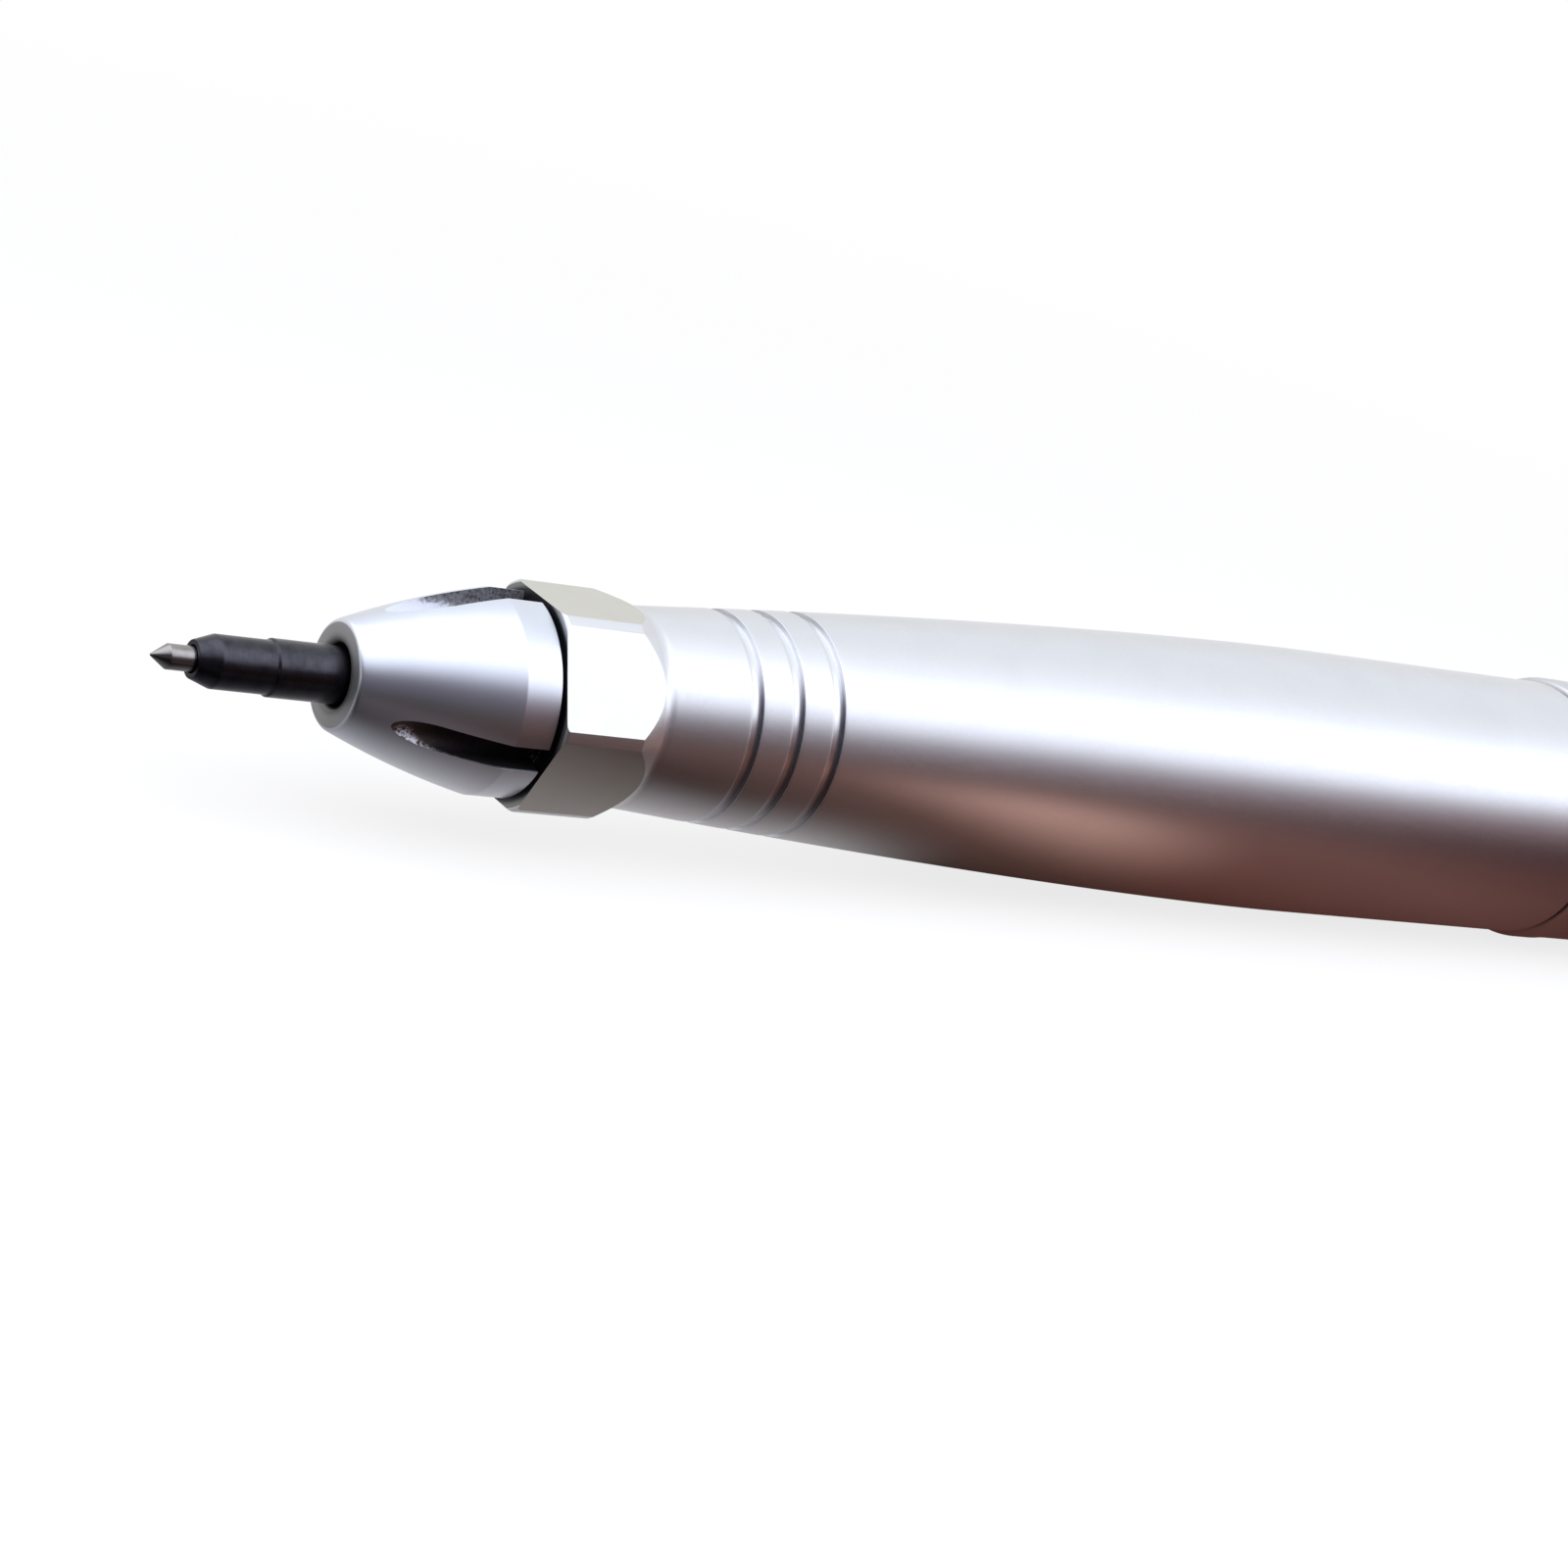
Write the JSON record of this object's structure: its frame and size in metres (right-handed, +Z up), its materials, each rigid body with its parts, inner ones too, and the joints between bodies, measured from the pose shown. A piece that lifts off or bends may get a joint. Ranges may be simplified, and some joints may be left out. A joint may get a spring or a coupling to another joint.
{
  "type": "air engraving pen",
  "caption": "Slim pneumatic engraving pen with a carbide-tipped sprung stylus, fluted nose cone, hexagon, grooved tapering grip and a turning throttle ring by its rear air inlet.",
  "frame": {"origin": "centre of the bounding box, on the surface that the pen lies on", "axes": "+X along the pen from its point to its air inlet, +Z up, with two of the hexagon's flats facing up and down"},
  "size_m": [0.1502, 0.0212, 0.0212],
  "materials": {
    "carbide_point": "ground tungsten carbide",
    "stylus_shank": "black oxide, satin",
    "spring_seat_washer": "ground",
    "stylus_spring": "drawn spring wire",
    "stylus_bumper": "amber urethane",
    "nose_cone": "fine turned",
    "guide_bush": "turned bronze",
    "stylus_seal": "moulded nitrile",
    "housing": "satin, bead-blasted and clear anodised",
    "cylinder": "ground",
    "cylinder_seal": "moulded nitrile",
    "piston": "ground and lapped",
    "valve_seat_plate": "ground",
    "valve_disc": "ground spring steel",
    "valve_cap": "turned",
    "valve_dowel": "ground",
    "stack_spring": "spring strip",
    "spacer_tube": "turned",
    "throttle_body": "fine turned",
    "housing_seal": "moulded nitrile",
    "throttle_seal": "moulded nitrile",
    "throttle_ring": "satin, with grip grooves",
    "throttle_stop_pin": "ground",
    "detent_ball": "polished",
    "detent_spring": "drawn spring wire",
    "retaining_ring": "phosphated spring steel",
    "inlet_screen": "drilled disc"
  },
  "bodies": {
    "pen": {"nose_cone": "nose_cone", "stylus_spring": "stylus_spring", "stylus_bumper": "stylus_bumper", "guide_bush": "guide_bush", "stylus_seal": "stylus_seal", "housing": "housing", "cylinder": "cylinder", "cylinder_seal": "cylinder_seal", "valve_seat_plate": "valve_seat_plate", "valve_cap": "valve_cap", "valve_dowel_1": "valve_dowel", "valve_dowel_2": "valve_dowel", "stack_spring": "stack_spring", "spacer_tube": "spacer_tube", "throttle_body": "throttle_body", "housing_seal": "housing_seal", "throttle_front_seal": "throttle_seal", "throttle_rear_seal": "throttle_seal", "throttle_stop_pin": "throttle_stop_pin", "detent_ball": "detent_ball", "detent_spring": "detent_spring", "retaining_ring": "retaining_ring", "inlet_screen": "inlet_screen"},
    "spring_seat": {"spring_seat_washer": "spring_seat_washer"},
    "stylus": {"carbide_point": "carbide_point", "stylus_shank": "stylus_shank"},
    "piston": {"piston": "piston"},
    "valve_disc": {"valve_disc": "valve_disc"},
    "throttle_ring": {"throttle_ring": "throttle_ring"}
  },
  "joints": [
    {"name": "stylus_stroke", "type": "slide", "parent": "pen", "child": "spring_seat", "axis": [-1, 0, 0], "range_m": [0, 0.0012], "stiffness_N_per_m": 300, "springref_m": -0.003, "deforming": ["stylus_spring"]},
    {"name": "stylus_spin", "type": "hinge", "parent": "spring_seat", "child": "stylus", "pos_m": [-0.05, 0, 0.0106], "axis": [1, 0, 0], "continuous": true},
    {"name": "piston_stroke", "type": "slide", "parent": "pen", "child": "piston", "axis": [1, 0, 0], "range_m": [0, 0.006]},
    {"name": "valve_lift", "type": "slide", "parent": "pen", "child": "valve_disc", "axis": [1, 0, 0], "range_m": [0, 0.0004]},
    {"name": "throttle_turn", "type": "hinge", "parent": "pen", "child": "throttle_ring", "pos_m": [0.0535, 0, 0.0106], "axis": [1, 0, 0], "range_deg": [0, 90]}
  ]
}
